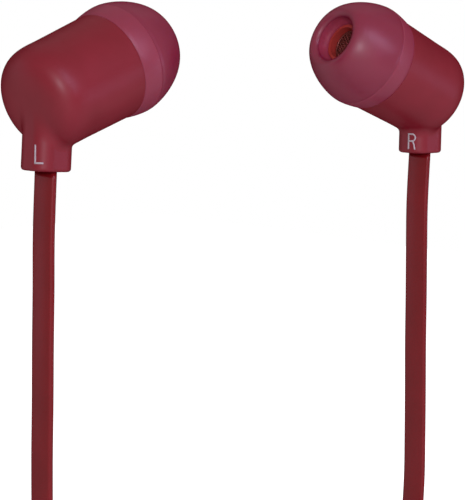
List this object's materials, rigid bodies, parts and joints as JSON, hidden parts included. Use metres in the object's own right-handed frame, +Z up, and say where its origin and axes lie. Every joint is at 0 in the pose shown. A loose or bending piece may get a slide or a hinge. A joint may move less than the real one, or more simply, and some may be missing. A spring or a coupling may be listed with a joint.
{
  "type": "wired in-ear earphones",
  "caption": "Wired in-ear earphones: dark red angled buds with silicone ear tips and short stems, flat cord, splitter, tied hank and straight jack plug.",
  "frame": {"origin": "middle of the mouth of the left ear tip, on its nozzle axis, where the left ear holds it", "axes": "+X from the left bud to the right bud, +Z up as worn, +Y away from the viewer of the pair"},
  "size_m": [0.0621, 0.0206, 0.1612],
  "materials": {
    "soft_touch_shell": "soft-touch matte",
    "nozzle_shell": "satin",
    "tip_silicone": "silicone, satin",
    "steel_mesh": "fine woven mesh",
    "black_plastic": "matte",
    "plated_steel": "satin",
    "nickel_magnet": "nickel plated",
    "copper_wire": "enamelled copper",
    "clear_film": "thin film",
    "vent_paper": "acoustic paper",
    "black_foam": "foam",
    "circuit_board": "solder mask",
    "cord_rubber": "satin jacket",
    "wire_insulation": "enamel",
    "tie_rubber": "matte",
    "gold_contact": "gold plated"
  },
  "bodies": {
    "earphones": {"left_rear_shell": "soft_touch_shell", "left_front_shell": "nozzle_shell", "left_nozzle_screen": "steel_mesh", "left_driver_frame": "black_plastic", "left_yoke": "plated_steel", "left_magnet": "nickel_magnet", "left_pole_plate": "plated_steel", "left_surround": "black_plastic", "left_driver_cover": "plated_steel", "left_vent_paper": "vent_paper", "left_gasket": "black_foam", "left_terminal_board": "circuit_board", "left_cord_grommet": "cord_rubber", "left_cord_crimp": "plated_steel", "left_wires": "wire_insulation", "right_rear_shell": "soft_touch_shell", "right_front_shell": "nozzle_shell", "right_nozzle_screen": "steel_mesh", "right_driver_frame": "black_plastic", "right_yoke": "plated_steel", "right_magnet": "nickel_magnet", "right_pole_plate": "plated_steel", "right_surround": "black_plastic", "right_driver_cover": "plated_steel", "right_vent_paper": "vent_paper", "right_gasket": "black_foam", "right_terminal_board": "circuit_board", "right_cord_grommet": "cord_rubber", "right_cord_crimp": "plated_steel", "right_wires": "wire_insulation", "left_lead": "cord_rubber", "left_lead_hank": "cord_rubber", "right_lead": "cord_rubber", "right_lead_hank": "cord_rubber", "main_cord_hank": "cord_rubber", "main_cord_end": "cord_rubber", "splitter_left_shell": "soft_touch_shell", "splitter_right_shell": "soft_touch_shell", "splitter_core": "black_plastic", "hank_tie": "tie_rubber", "plug_relief": "cord_rubber", "plug_body": "soft_touch_shell", "plug_sleeve": "gold_contact", "plug_insulators": "black_plastic", "plug_ring": "gold_contact", "plug_tip": "gold_contact"},
    "left_tip": {"left_ear_tip": "tip_silicone"},
    "right_tip": {"right_ear_tip": "tip_silicone"},
    "left_cone": {"left_diaphragm": "clear_film", "left_voice_coil": "copper_wire"},
    "right_cone": {"right_diaphragm": "clear_film", "right_voice_coil": "copper_wire"}
  },
  "joints": [
    {"name": "left_tip_pull_off", "type": "slide", "parent": "earphones", "child": "left_tip", "axis": [0.9426, 0, 0.3338], "range_m": [0, 0.006]},
    {"name": "right_tip_pull_off", "type": "slide", "parent": "earphones", "child": "right_tip", "axis": [-0.9104, 0.1361, 0.3907], "range_m": [0, 0.006]},
    {"name": "left_diaphragm_stroke", "type": "slide", "parent": "earphones", "child": "left_cone", "axis": [0.9426, 0, 0.3338], "range_m": [-0.0002, 0.0002], "stiffness_N_per_m": 30},
    {"name": "right_diaphragm_stroke", "type": "slide", "parent": "earphones", "child": "right_cone", "axis": [-0.9104, 0.1361, 0.3907], "range_m": [-0.0002, 0.0002], "stiffness_N_per_m": 30}
  ]
}
